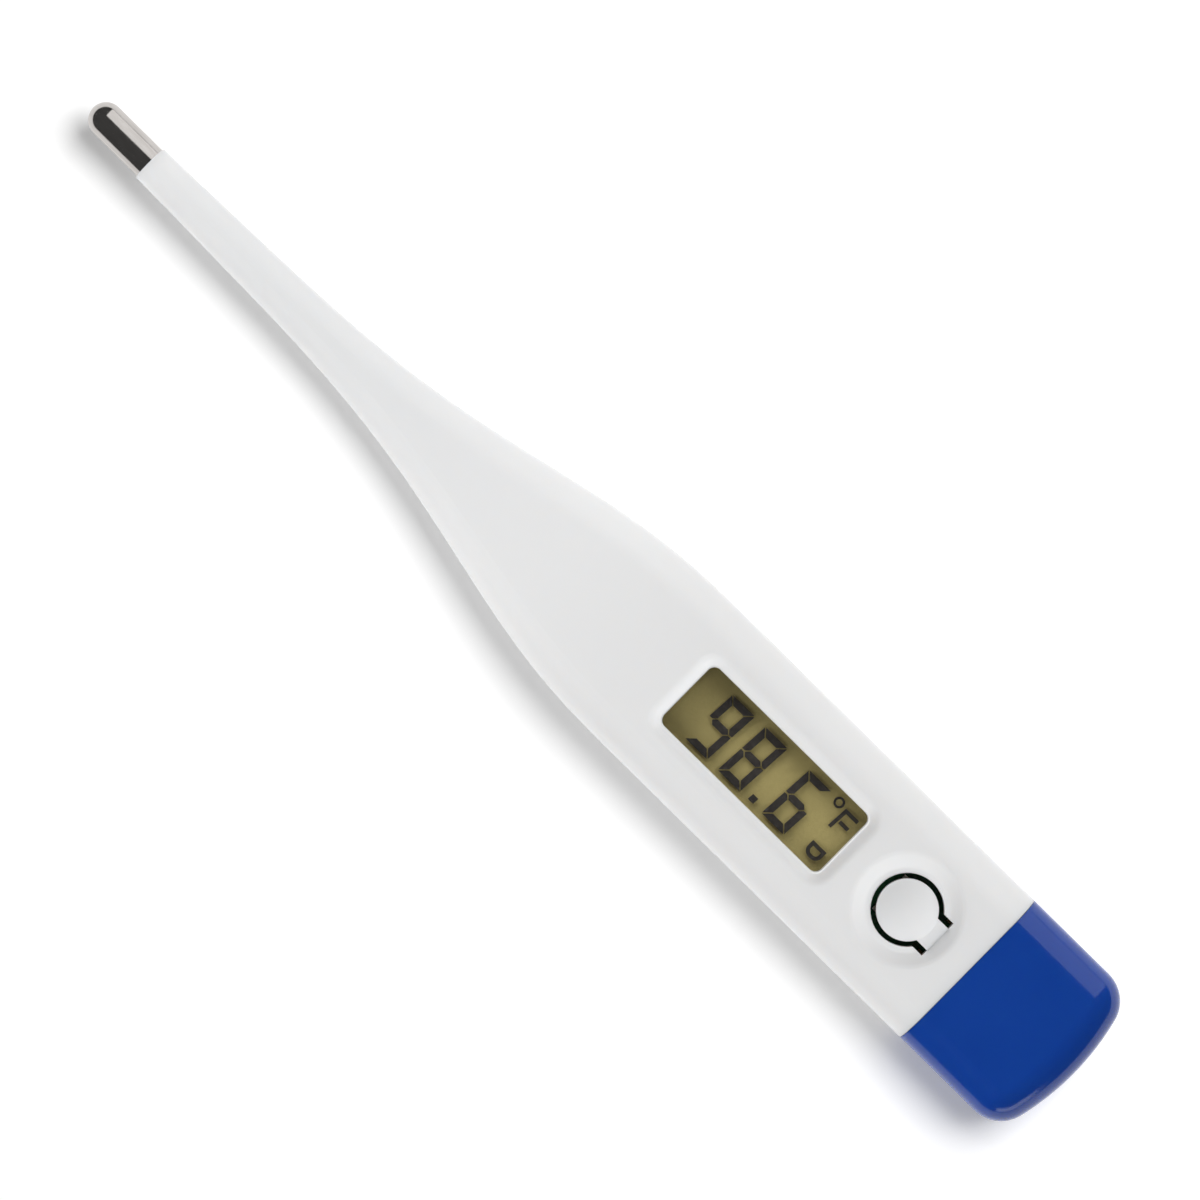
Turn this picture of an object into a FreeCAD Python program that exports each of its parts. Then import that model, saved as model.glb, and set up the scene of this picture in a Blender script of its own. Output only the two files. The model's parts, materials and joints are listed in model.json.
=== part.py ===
"""Digital stick thermometer, modelled in millimetres.

X runs from the steel probe tip (-X) to the battery cover (+X), Y is up for a reader
of the display, and Z is up through the display. The origin is below the middle of
the thermometer, on the flat underside that it rests on.
Places along the thermometer are given as distances from the probe tip.
"""
import FreeCAD, Part
import math
import os
import re
import Sketcher

SIZES = [
    # the whole thermometer
    ("length", 127.0),
    ("body_half_width", 8.83),
    ("body_thickness", 9.8),
    ("shoulder_radius", 3.1),
    # steel probe tip and what is in it
    ("probe_length", 7.4),
    ("probe_radius", 1.7),
    ("probe_wall", 0.2),
    ("bead_at", 2.1),
    ("bead_radius", 0.5),
    ("lead_radius", 0.15),
    ("lead_gap", 0.45),
    # housing: stem, taper, walls
    ("stem_radius", 1.84),
    ("stem_spread", 0.022),
    ("stem_rise", 0.012),
    ("stem_wall", 0.85),
    ("taper_start", 18.2),
    ("taper_end", 76.4),
    ("taper_power", 3.19),
    ("taper_sharpness", 3.41),
    ("nose_radius", 1.48),
    ("nose_length", 3.0),
    ("nose_bore", 0.85),
    ("bore_end", 10.4),
    ("body_wall", 1.74),
    # battery cover and the tenon that it slides on
    ("cap_start", 113.2),
    ("cap_seam", 0.05),
    ("cap_wall", 0.9),
    ("cap_end_wall", 1.0),
    ("cap_corner", 3.5),
    ("cap_bulge", 26.0),
    ("tenon_length", 6.0),
    ("tenon_inset", 0.94),
    # display window
    ("window_start", 76.87),
    ("window_end", 97.12),
    ("window_half_width", 3.65),
    ("window_corner", 0.8),
    ("rim_height", 0.5),
    ("rim_land", 0.16),
    ("rim_ramp", 0.85),
    ("rim_crest_round", 0.25),
    ("collar_crest_round", 0.7),
    ("foot_round", 1.2),
    ("lip_round", 0.12),
    ("lens_gap", 0.03),
    ("lens_bottom", 8.3),
    ("lens_top", 9.35),
    # button, its slot and collar
    ("button_at", 105.3),
    ("button_radius", 2.88),
    ("button_bottom", 8.8),
    ("slot_radius", 3.4),
    ("neck_half_width", 1.39),
    ("channel_half_width", 2.06),
    ("neck_bottom", 9.4),
    ("hinge_at", 109.2),
    ("collar_crest", 3.95),
    ("collar_foot", 5.25),
    ("dish_depth", 0.5),
    ("dish_radius", 8.6),
    ("nub_radius", 0.7),
    ("nub_bottom", 7.75),
    # carrier
    ("carrier_front", 74.6),
    ("carrier_end", 124.7),
    ("carrier_half_width", 6.85),
    ("carrier_bottom", 1.84),
    ("carrier_top", 7.8),
    ("carrier_edge", 1.15),
    ("carrier_corner", 2.4),
    ("rail_thickness", 0.65),
    ("rail_top", 7.4),
    ("bay_start", 76.0),
    ("bay_end", 113.8),
    ("floor_window_start", 79.0),
    ("floor_window_end", 98.0),
    ("floor_window_half_width", 5.2),
    ("notch_length", 1.5),
    ("notch_half_width", 1.0),
    ("recess_end", 122.4),
    ("recess_right", 3.6),
    ("recess_left", 4.8),
    ("hook_length", 1.6),
    ("hook_overhang", 0.6),
    # circuit board
    ("board_bottom", 3.4),
    ("board_thickness", 0.8),
    ("board_half_width", 6.1),
    ("board_start", 76.1),
    ("board_end", 113.6),
    ("board_corner", 0.6),
    ("stake_radius", 0.5),
    ("stake_offset", 5.1),
    ("stake_slack", 0.03),
    ("stake_head", 0.3),
    # display stack
    ("glass_start", 76.4),
    ("glass_end", 98.6),
    ("glass_thickness", 0.55),
    ("glass_half_width", 5.8),
    ("cell_half_width", 4.3),
    ("cell_bottom", 6.05),
    ("cell_gap", 0.04),
    ("reflector_thickness", 0.2),
    ("polarizer_thickness", 0.15),
    ("zebra_half_width", 0.5),
    ("zebra_offset", 5.1),
    # numerals of the display
    ("digit_height", 5.92),
    ("digit_width", 2.88),
    ("digit_slant", 0.065),
    ("digit_stroke", 0.7),
    ("segment_gap", 0.11),
    ("digit_row", -0.13),
    ("segment_low", 6.61),
    ("segment_film", 0.02),
    ("point_at", 87.85),
    ("point_size", 0.68),
    ("degree_at", 94.1),
    ("degree_row", 2.63),
    ("degree_outer", 0.54),
    ("degree_inner", 0.32),
    ("letter_at", 94.8),
    ("letter_row", 0.42),
    ("letter_height", 2.26),
    ("letter_width", 1.7),
    ("letter_stroke", 0.37),
    ("letter_bar_low", 0.78),
    ("letter_bar_start", 0.5),
    ("letter_bar_end", 1.6),
    ("low_cell_top", -1.5),
    ("low_cell_width", 1.75),
    ("low_cell_depth", 1.42),
    ("low_cell_round", 0.75),
    ("low_cell_stroke", 0.38),
    # controller and chips
    ("blob_at", 88.0),
    ("blob_radius", 2.8),
    ("blob_rise", 0.9),
    ("resistor_at", 101.3),
    ("resistor_height", 0.4),
    ("capacitor_at", 109.3),
    ("capacitor_height", 0.7),
    ("chip_length", 0.8),
    ("chip_width", 1.6),
    # tact switch
    ("switch_half_width", 2.2),
    ("switch_height", 2.0),
    ("cover_thickness", 0.2),
    ("switch_floor", 0.3),
    ("well_radius", 1.7),
    ("stem_hole", 0.95),
    ("plunger_radius", 0.85),
    ("plunger_top", 7.71),
    ("flange_radius", 1.45),
    ("flange_thickness", 0.5),
    ("dome_radius", 1.55),
    ("dome_rise", 0.42),
    ("dome_thickness", 0.08),
    # piezo buzzer
    ("buzzer_at", 106.4),
    ("buzzer_radius", 4.4),
    ("buzzer_seat", 2.3),
    ("buzzer_sheet", 0.15),
    ("ceramic_radius", 3.2),
    ("buzzer_ledge", 0.6),
    ("buzzer_wire_at", 103.9),
    ("buzzer_wire_offset", 1.5),
    ("buzzer_wire_radius", 0.1),
    # button cell and contacts
    ("cell_at", 119.0),
    ("cell_radius", 3.95),
    ("cell_height", 3.6),
    ("cell_low", 3.25),
    ("chamber_radius", 4.15),
    ("chamber_floor", 2.65),
    ("lid_radius", 3.1),
    ("gasket_radius", 3.4),
    ("can_sheet", 0.25),
    ("can_step", 0.15),
    ("strip_thickness", 0.15),
    ("negative_width", 1.6),
    ("positive_height", 1.7),
    ("positive_foot_length", 1.8),
    ("positive_foot_width", 1.0),
    ("lead_pad_inset", 0.65),
    ("lead_pad_offset", 1.5),
    ("solder_radius", 0.35),
    ("solder_rise", 0.25),
]

# sections along each half of the loft between the stem and the full body
TAPER_STEPS = 20
# posts through the board and hooks over the glass: distance from the tip, and side
STAKES = [("100.4", 1), ("100.4", -1), ("110.9", 1), ("110.9", -1)]
HOOKS = [("79", 1), ("79", -1), ("94", 1), ("94", -1)]
# the numerals 9, 8 and 6: distance of the left edge from the tip, and the bars that are dark
NUMERALS = [(79.96, "abcdfg"), (84.18, "abcdefg"), (89.84, "acdefg")]
# slack in the middle of the thermistor's wires: distance from the tip, Y, and height off the axis
LEAD_WAVES = [(38.0, 0.0, 0.0), (45.0, 1.9, 0.0), (53.0, -2.2, 0.0), (61.0, 2.6, -0.1)]
# middle of each contact strip where it lies on the board: distances from the tip
NEGATIVE_FOOT = (111.2, 114.45)
POSITIVE_FOOT = (111.6, 114.9)
# where the strip under the cell starts to rise, touches from and to, and ends
NEGATIVE_SPRING = (116.6, 118.2, 119.8, 121.2)
# the same along the side of the can, with the Y place of its free parts
POSITIVE_SPRING = (118.2, 119.8, 122.0)
POSITIVE_CLEAR = (4.4, 4.5)

document = FreeCAD.newDocument("Thermometer")
sheet = document.addObject("Spreadsheet::Sheet", "Sizes")
for row, (alias, number) in enumerate(SIZES, start=1):
    sheet.set(f"A{row}", alias)
    sheet.set(f"B{row}", str(number))
    sheet.setAlias(f"B{row}", alias)
document.recompute()
ALIASES = {alias for alias, _ in SIZES}
nodes = []


# ---------------------------------------------------------------- expressions

def linked(formula):
    """The formula with each alias written as a link to its sheet cell."""
    def link(word):
        return f"Sizes.{word[0]}" if word[0] in ALIASES else word[0]

    return re.sub(r"[a-z_]+", link, str(formula))


def value(formula):
    """The formula's number, in millimetres."""
    return float(sheet.evalExpression(linked(formula)))


def along(distance):
    """The X of a distance from the probe tip."""
    return f"({distance}) - length / 2"


def bind(thing, **formulas):
    """Link properties of an object to formulas over the sheet."""
    for name, formula in formulas.items():
        thing.setExpression(name.replace("__", "."), linked(formula))


def settle(thing, label, x="0", y="0", z="0"):
    """Name an object and place its own origin at (x, y, z)."""
    thing.Label = label
    bind(thing, Placement__Base__x=x, Placement__Base__y=y, Placement__Base__z=z)
    return thing


def keep(thing):
    """Count an object among the sub-parts that are written out."""
    nodes.append(thing)
    return thing


# ------------------------------------------------------- primitives, booleans

def block(label, start, end, right, left, low, high):
    """A box between two distances from the tip, two Y places and two heights."""
    box = document.addObject("Part::Box", label)
    bind(box, Length=f"({end}) - ({start})", Width=f"({left}) - ({right})", Height=f"({high}) - ({low})")
    return settle(box, label, along(start), right, low)


def disc(label, radius, at, low, high, y="0"):
    """An upright cylinder."""
    cylinder = document.addObject("Part::Cylinder", label)
    bind(cylinder, Radius=radius, Height=f"({high}) - ({low})")
    return settle(cylinder, label, along(at), y, low)


def rod(label, radius, start, end, y="0", z="body_thickness / 2"):
    """A cylinder lying along X."""
    cylinder = document.addObject("Part::Cylinder", label)
    bind(cylinder, Radius=radius, Height=f"({end}) - ({start})")
    cylinder.Placement.Rotation = FreeCAD.Rotation(FreeCAD.Vector(0, 1, 0), 90)
    return settle(cylinder, label, along(start), y, z)


def ball(label, radius, at, y="0", z="body_thickness / 2"):
    sphere = document.addObject("Part::Sphere", label)
    bind(sphere, Radius=radius)
    return settle(sphere, label, along(at), y, z)


def common(label, first, second):
    result = document.addObject("Part::MultiCommon", label)
    result.Shapes = [first, second]
    result.Label = label
    return result


def shaped(label, shape):
    """An object whose shape is made directly with Part's functions."""
    feature = document.addObject("Part::Feature", label)
    feature.Shape = shape
    feature.Label = label
    return feature


def fused(label, pieces):
    union = document.addObject("Part::MultiFuse", label)
    union.Shapes = pieces
    union.Label = label
    return union


def grouped(label, pieces):
    """Separate solids that share one node."""
    group = document.addObject("Part::Compound", label)
    group.Links = pieces
    group.Label = label
    return group


def cut(label, base, tools):
    result = document.addObject("Part::Cut", label)
    result.Base = base
    result.Tool = tools[0] if len(tools) == 1 else fused(label + "_cutters", tools)
    result.Label = label
    return result


# --------------------------------------------------------- bodies and sketches

def new_body(label):
    body = document.addObject("PartDesign::Body", label)
    body.Label = label
    return body


def new_sketch(body, name, plane, **offset):
    """A sketch on one of the body's origin planes, moved off it by offset formulas."""
    sketch = body.newObject("Sketcher::SketchObject", name)
    support = next(item for item in body.Origin.OriginFeatures if item.Role == plane)
    sketch.AttachmentSupport = [(support, "")]
    sketch.MapMode = "FlatFace"
    for axis, formula in offset.items():
        sketch.setExpression(f"AttachmentOffset.Base.{axis}", linked(formula))
    return sketch


def dimension(sketch, name, kind, *references, formula):
    """A named sketch dimension that follows a formula."""
    index = sketch.addConstraint(Sketcher.Constraint(kind, *references, value(formula)))
    sketch.renameConstraint(index, name)
    sketch.setExpression(f"Constraints.{name}", linked(formula))


def draw_rounded_rectangle(sketch, left, right, low, high, radius):
    """Four sides and four corner arcs, dimensioned from the sketch origin."""
    x0, x1, y0, y1, r = (value(formula) for formula in (left, right, low, high, radius))
    first = sketch.GeometryCount
    corners = [(x1 - r, y0 + r), (x1 - r, y1 - r), (x0 + r, y1 - r), (x0 + r, y0 + r)]
    ends = [
        (x0 + r, y0, x1 - r, y0),
        (x1, y0 + r, x1, y1 - r),
        (x1 - r, y1, x0 + r, y1),
        (x0, y1 - r, x0, y0 + r),
    ]
    for turn, (corner, end) in enumerate(zip(corners, ends)):
        side = Part.LineSegment(FreeCAD.Vector(end[0], end[1]), FreeCAD.Vector(end[2], end[3]))
        circle = Part.Circle(FreeCAD.Vector(*corner), FreeCAD.Vector(0, 0, 1), r)
        start_angle = -math.pi / 2 + turn * math.pi / 2
        sketch.addGeometry(side)
        sketch.addGeometry(Part.ArcOfCircle(circle, start_angle, start_angle + math.pi / 2))
    for turn in range(4):
        side, arc = first + 2 * turn, first + 2 * turn + 1
        sketch.addConstraint(Sketcher.Constraint("Tangent", side, 2, arc, 1))
        sketch.addConstraint(Sketcher.Constraint("Tangent", arc, 2, first + (2 * turn + 2) % 8, 1))
        if turn:
            sketch.addConstraint(Sketcher.Constraint("Equal", first + 1, arc))
    sketch.addConstraint(Sketcher.Constraint("Horizontal", first))
    sketch.addConstraint(Sketcher.Constraint("Vertical", first + 2))
    tag = f"_{first}"
    dimension(sketch, "radius" + tag, "Radius", first + 1, formula=radius)
    dimension(sketch, "left" + tag, "DistanceX", -1, 1, first + 6, 1, formula=left)
    dimension(sketch, "right" + tag, "DistanceX", -1, 1, first + 2, 1, formula=right)
    dimension(sketch, "low" + tag, "DistanceY", -1, 1, first, 1, formula=low)
    dimension(sketch, "high" + tag, "DistanceY", -1, 1, first + 4, 1, formula=high)


def draw_circle(sketch, x, y, radius):
    """A circle, dimensioned from the sketch origin."""
    centre = FreeCAD.Vector(value(x), value(y))
    index = sketch.addGeometry(Part.Circle(centre, FreeCAD.Vector(0, 0, 1), value(radius)))
    dimension(sketch, f"radius_{index}", "Radius", index, formula=radius)
    dimension(sketch, f"x_{index}", "DistanceX", -1, 1, index, 3, formula=x)
    dimension(sketch, f"y_{index}", "DistanceY", -1, 1, index, 3, formula=y)


def draw_polygon(sketch, corners):
    """A closed outline of straight lines, each corner dimensioned from the sketch origin."""
    places = [FreeCAD.Vector(value(x), value(y)) for x, y in corners]
    first = sketch.GeometryCount
    count = len(places)
    for index, start in enumerate(places):
        sketch.addGeometry(Part.LineSegment(start, places[(index + 1) % count]))
    for index in range(count):
        following = first + (index + 1) % count
        sketch.addConstraint(Sketcher.Constraint("Coincident", first + index, 2, following, 1))
    for index, (x, y) in enumerate(corners):
        dimension(sketch, f"x_{first + index}", "DistanceX", -1, 1, first + index, 1, formula=x)
        dimension(sketch, f"y_{first + index}", "DistanceY", -1, 1, first + index, 1, formula=y)


def rectangle(sketch, start, end, right, left):
    """A rectangle between two distances from the tip and two Y places."""
    start_x, end_x = along(start), along(end)
    draw_polygon(sketch, [(start_x, right), (end_x, right), (end_x, left), (start_x, left)])


def pad(body, name, sketch, length, reverse=False):
    feature = body.newObject("PartDesign::Pad", name)
    feature.Profile = sketch
    feature.Reversed = reverse
    bind(feature, Length=length)
    return feature


def pocket(body, name, sketch, length, reverse=False):
    feature = body.newObject("PartDesign::Pocket", name)
    feature.Profile = sketch
    feature.Reversed = reverse
    bind(feature, Length=length)
    return feature


def loft(body, name, sketches, subtract=False, ruled=False):
    kind = "PartDesign::SubtractiveLoft" if subtract else "PartDesign::AdditiveLoft"
    feature = body.newObject(kind, name)
    feature.Profile = sketches[0]
    feature.Sections = sketches[1:]
    feature.Ruled = ruled
    return feature


def revolve(body, name, sketch):
    """A full turn about the sketch's vertical axis."""
    feature = body.newObject("PartDesign::Revolution", name)
    feature.Profile = sketch
    feature.ReferenceAxis = (sketch, ["V_Axis"])
    feature.Angle = 360
    return feature


def fillet(body, name, base, radius, chosen):
    """Round the edges of a feature that the chosen() test picks."""
    document.recompute()
    picked = [f"Edge{index}" for index, edge in enumerate(base.Shape.Edges, start=1) if chosen(edge)]
    feature = body.newObject("PartDesign::Fillet", name)
    feature.Base = (base, picked)
    bind(feature, Radius=radius)
    document.recompute()
    return feature


# -------------------------------------------------------------------- housing

def section_formulas(station, wall="0"):
    """The rounded-rectangle section of the body at a distance from the tip.

    The outline swells from the round stem to the full body along one S-shaped curve.
    Returns the half-width, the half-height and the corner radius, less a wall.
    """
    if wall == "0":
        stem_wall = body_wall = "0"
    else:
        stem_wall, body_wall = "stem_wall", wall
    progress = f"(({station}) - taper_start) / (taper_end - taper_start)"
    if value(progress) <= 0:
        grown = "0"
    elif value(progress) >= 1:
        grown = "1"
    else:
        grown = f"(1 - (1 - ({progress})^taper_power)^taper_sharpness)"
    reach = f"(({station}) - probe_length)"
    half_width = (f"(stem_radius + stem_spread * {reach} - {stem_wall}) * (1 - {grown})"
                  f" + (body_half_width - {body_wall}) * {grown}")
    stem_height = f"(stem_radius + stem_rise * {reach} - {stem_wall})"
    half_height = f"{stem_height} * (1 - {grown}) + (body_thickness / 2 - {body_wall}) * {grown}"
    corner = f"0.95 * {stem_height} * (1 - {grown}) + (shoulder_radius - {body_wall}) * {grown}"
    return half_width, half_height, corner


def section_sketch(body, name, station, wall="0", inset="0"):
    """The body's section as a sketch square to X, optionally shrunk all round."""
    half_width, half_height, corner = section_formulas(station, wall)
    sketch = new_sketch(body, name, "YZ_Plane", z=along(station))
    middle = "body_thickness / 2"
    draw_rounded_rectangle(
        sketch,
        f"-({half_width} - {inset})", f"{half_width} - {inset}",
        f"{middle} - ({half_height} - {inset})", f"{middle} + ({half_height} - {inset})",
        f"{corner} - {inset}",
    )
    return sketch


def taper_stations(first):
    """Distances from the tip of the loft's sections, from a first one to the full body."""
    stride = f"(taper_end - taper_start) / {TAPER_STEPS}"
    steps = [f"taper_start + {stride} * {step}" for step in range(TAPER_STEPS)]
    return [first] + steps + ["taper_end"]


def add_shell(body):
    """The outside: swelling stem, straight body, tenon for the cover and nose for the probe tip."""
    stations = taper_stations("probe_length")
    skins = [section_sketch(body, f"outer_{index}", station) for index, station in enumerate(stations)]
    loft(body, "taper", skins)
    rear = section_sketch(body, "rear_section", "taper_end")
    pad(body, "rear_body", rear, "cap_start - taper_end")
    tenon = section_sketch(body, "tenon_section", "cap_start", inset="tenon_inset")
    pad(body, "tenon", tenon, "tenon_length")
    nose = new_sketch(body, "nose_section", "YZ_Plane", z=along("probe_length"))
    draw_circle(nose, "0", "body_thickness / 2", "nose_radius")
    pad(body, "nose", nose, "nose_length", reverse=True)


def hollow_shell(body):
    """The inside: one straight bay open at the rear, narrowing to the bore of the stem."""
    stations = taper_stations("bore_end")
    skins = [section_sketch(body, f"inner_{index}", station, "body_wall")
             for index, station in enumerate(stations)]
    loft(body, "taper_hollow", skins, subtract=True)
    bay = section_sketch(body, "bay_section", "taper_end", "body_wall")
    pocket(body, "bay", bay, "cap_start + tenon_length - taper_end", reverse=True)
    bore = new_sketch(body, "bore_section", "YZ_Plane", z=along("probe_length - nose_length"))
    draw_circle(bore, "0", "body_thickness / 2", "nose_bore")
    pocket(body, "bore", bore, "bore_end - probe_length + nose_length + 0.1", reverse=True)


def window_outline(sketch, margin):
    """The window's rounded rectangle, widened all round by a margin."""
    draw_rounded_rectangle(
        sketch,
        f"{along('window_start')} - ({margin})", f"{along('window_end')} + ({margin})",
        f"-window_half_width - ({margin})", f"window_half_width + ({margin})",
        f"window_corner + ({margin})",
    )


def turned(body, name, at, corners):
    """A revolution about an upright axis: corners are (distance from the axis, height)."""
    profile = new_sketch(body, name + "_profile", "XZ_Plane", x=along(at))
    draw_polygon(profile, corners)
    return revolve(body, name, profile)


def button_footprint(sketch, radius, half_width, end):
    """The outline of the button or of its hole: a circle with a neck towards the hinge."""
    centre = value(along("button_at"))
    reach, side, far = value(radius), value(half_width), value(along(end))
    join = centre + math.sqrt(reach**2 - side**2)
    angle = math.asin(side / reach)
    circle = Part.Circle(FreeCAD.Vector(centre, 0), FreeCAD.Vector(0, 0, 1), reach)
    first = sketch.GeometryCount
    sketch.addGeometry(Part.ArcOfCircle(circle, angle, 2 * math.pi - angle))
    sketch.addGeometry(Part.LineSegment(FreeCAD.Vector(join, -side), FreeCAD.Vector(far, -side)))
    sketch.addGeometry(Part.LineSegment(FreeCAD.Vector(far, -side), FreeCAD.Vector(far, side)))
    sketch.addGeometry(Part.LineSegment(FreeCAD.Vector(far, side), FreeCAD.Vector(join, side)))
    for index in range(4):
        following = first + (index + 1) % 4
        sketch.addConstraint(Sketcher.Constraint("Coincident", first + index, 2, following, 1))
    sketch.addConstraint(Sketcher.Constraint("Horizontal", first + 1))
    sketch.addConstraint(Sketcher.Constraint("Vertical", first + 2))
    sketch.addConstraint(Sketcher.Constraint("Horizontal", first + 3))
    sketch.addConstraint(Sketcher.Constraint("PointOnObject", first, 3, -1))
    tag = f"_{first}"
    dimension(sketch, "radius" + tag, "Radius", first, formula=radius)
    dimension(sketch, "centre" + tag, "DistanceX", -1, 1, first, 3, formula=along("button_at"))
    dimension(sketch, "side" + tag, "DistanceY", -1, 1, first + 3, 1, formula=half_width)
    dimension(sketch, "under" + tag, "DistanceY", first + 2, 1, -1, 1, formula=half_width)
    dimension(sketch, "far" + tag, "DistanceX", -1, 1, first + 2, 1, formula=along(end))


def at_height(edge, height):
    """Whether an edge lies in a level plane at a height."""
    box = edge.BoundBox
    return abs(box.ZMin - height) < 0.01 and abs(box.ZMax - height) < 0.01


def inside_box(edge, start, end, half_width):
    """Whether an edge lies between two distances from the tip and within a half-width."""
    box = edge.BoundBox
    slack = 0.05
    lengthwise = box.XMin > value(along(start)) - slack and box.XMax < value(along(end)) + slack
    return lengthwise and max(-box.YMin, box.YMax) < value(half_width) + slack


def add_rims(body):
    """A sloping rim round the window and a sloping collar round the button, both softened."""
    crest = "body_thickness + rim_height"
    foot_outline = new_sketch(body, "rim_foot", "XY_Plane", z="body_thickness")
    window_outline(foot_outline, "rim_land + rim_ramp")
    crest_outline = new_sketch(body, "rim_crest", "XY_Plane", z=crest)
    window_outline(crest_outline, "rim_land")
    loft(body, "rim", [foot_outline, crest_outline], ruled=True)
    collar = turned(body, "collar", "button_at", [
        ("0", "body_thickness - body_wall / 2"),
        ("collar_foot", "body_thickness - body_wall / 2"),
        ("collar_foot", "body_thickness"),
        ("collar_crest", crest),
        ("0", crest),
    ])
    last = collar
    areas = {"rim": ("window_start - 2", "window_end + 2", "collar_foot"),
             "collar": ("button_at - collar_foot", "button_at + collar_foot", "collar_foot")}
    for name, area in areas.items():
        last = fillet(body, name + "_crest", last, name + "_crest_round",
                      lambda edge: at_height(edge, value(crest)) and inside_box(edge, *area))
        last = fillet(body, name + "_foot", last, "foot_round",
                      lambda edge: at_height(edge, value("body_thickness")) and inside_box(edge, *area))


def cut_openings(body):
    """The window and the button's hole with its hinge channel, with rounded lips."""
    crest = "body_thickness + rim_height"
    window = new_sketch(body, "window_section", "XY_Plane", z=crest)
    window_outline(window, "0")
    pocket(body, "window", window, "body_wall + rim_height + 0.2")
    hole = new_sketch(body, "button_hole_outline", "XY_Plane", z=crest)
    button_footprint(hole, "slot_radius", "channel_half_width", "hinge_at")
    last = pocket(body, "button_hole", hole, "body_wall + rim_height + 0.2")
    window_area = ("window_start", "window_end", "window_half_width")
    hole_area = ("button_at - slot_radius", "hinge_at", "slot_radius")
    fillet(body, "lips", last, "lip_round",
           lambda edge: at_height(edge, value(crest))
           and (inside_box(edge, *window_area) or inside_box(edge, *hole_area)))


def make_housing():
    body = new_body("housing")
    add_shell(body)
    hollow_shell(body)
    add_rims(body)
    cut_openings(body)
    return keep(body)


# --------------------------------------------------------------------- button

def make_power_button():
    """A dished disc on a neck that bends at its root, with a nub below for the switch."""
    body = new_body("button_form")
    crest = "body_thickness + rim_height"
    reach = "(hinge_at - button_at + 1)"
    turned(body, "blank", "button_at", [
        ("0", "button_bottom"), (reach, "button_bottom"), (reach, crest), ("0", crest),
    ])
    outside = new_sketch(body, "outside_outline", "XY_Plane", z=f"{crest} + 0.1")
    draw_circle(outside, along("button_at"), "0", "hinge_at - button_at + 3")
    button_footprint(outside, "button_radius", "neck_half_width", "hinge_at")
    pocket(body, "outside", outside, "body_thickness")
    thin = new_sketch(body, "neck_underside", "XY_Plane", z="button_bottom")
    draw_polygon(thin, [
        (along("button_at + button_radius - 0.1"), "-neck_half_width - 0.1"),
        (along("hinge_at + 0.1"), "-neck_half_width - 0.1"),
        (along("hinge_at + 0.1"), "neck_half_width + 0.1"),
        (along("button_at + button_radius - 0.1"), "neck_half_width + 0.1"),
    ])
    pocket(body, "neck_thinning", thin, "neck_bottom - button_bottom", reverse=True)
    nub = new_sketch(body, "nub_outline", "XY_Plane", z="button_bottom")
    draw_circle(nub, along("button_at"), "0", "nub_radius")
    pad(body, "nub", nub, "button_bottom - nub_bottom", reverse=True)
    fillet(body, "nub_end", body.Tip, "nub_radius - 0.02",
           lambda edge: at_height(edge, value("nub_bottom")))
    dish = document.addObject("Part::Sphere", "dish")
    bind(dish, Radius="dish_radius")
    settle(dish, "dish", along("button_at"), "0", f"{crest} - dish_depth + dish_radius")
    return keep(cut("power_button", body, [dish]))


# ------------------------------------------------------------ lens, probe tip

def make_window_lens():
    """A clear plate glued into the window, a little below the rim."""
    body = new_body("window_lens")
    outline = new_sketch(body, "lens_outline", "XY_Plane", z="lens_bottom")
    window_outline(outline, "-lens_gap")
    pad(body, "lens_plate", outline, "lens_top - lens_bottom")
    return keep(body)


def bullet(label, radius, nose, end):
    """A rod along X with a round end towards the tip."""
    centre = f"({nose}) + ({radius})"
    return fused(label, [ball(label + "_end", radius, centre), rod(label + "_side", radius, centre, end)])


def make_probe_tip():
    """A drawn steel cup that covers the nose of the stem."""
    outside = bullet("cup_outside", "probe_radius", "0", "probe_length")
    inside = bullet("cup_inside", "probe_radius - probe_wall", "probe_wall", "probe_length + 1")
    return keep(cut("probe_tip", outside, [inside]))


def make_tip_filling(leads):
    """The thermistor bead and the epoxy that holds it in the cup."""
    bead = document.addObject("Part::Ellipsoid", "bead")
    bind(bead, Radius1="bead_radius", Radius2="bead_radius * 1.6", Radius3="bead_radius")
    settle(bead, "bead", along("bead_at"), "0", "body_thickness / 2")
    thermistor = keep(cut("thermistor", bead, [leads]))
    filling = bullet("filling", "probe_radius - probe_wall", "probe_wall", "probe_length - nose_length")
    keep(cut("tip_epoxy", filling, [thermistor, leads]))


# ---------------------------------------------------------------------- wires

def rounded_path(points):
    """Straight runs joined by tangent arcs, each as large as its two runs allow."""
    points = [FreeCAD.Vector(*point) for point in points]
    edges = []
    start = points[0]
    for before, corner, after in zip(points, points[1:], points[2:]):
        inward = (before - corner).normalize()
        outward = (after - corner).normalize()
        turn = math.pi - inward.getAngle(outward)
        tangent = 0.45 * min((before - corner).Length, (after - corner).Length)
        radius = tangent / math.tan(turn / 2)
        middle = (inward + outward).normalize()
        depth = radius / math.cos(turn / 2) - radius
        arc_start = corner + inward * tangent
        arc_end = corner + outward * tangent
        edges.append(Part.LineSegment(start, arc_start).toShape())
        edges.append(Part.Arc(arc_start, corner + middle * depth, arc_end).toShape())
        start = arc_end
    edges.append(Part.LineSegment(start, points[-1]).toShape())
    return Part.Wire(edges)


def wire_solid(points, radius):
    """A round wire along a rounded path of points, (distance from the tip, Y, Z)."""
    half = value("length / 2")
    path = rounded_path([(distance - half, y, z) for distance, y, z in points])
    start = path.Edges[0].firstVertex().Point
    heading = path.Edges[0].tangentAt(path.Edges[0].FirstParameter)
    section = Part.Wire(Part.makeCircle(radius, start, heading))
    return path.makePipeShell([section], True, False)


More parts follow.
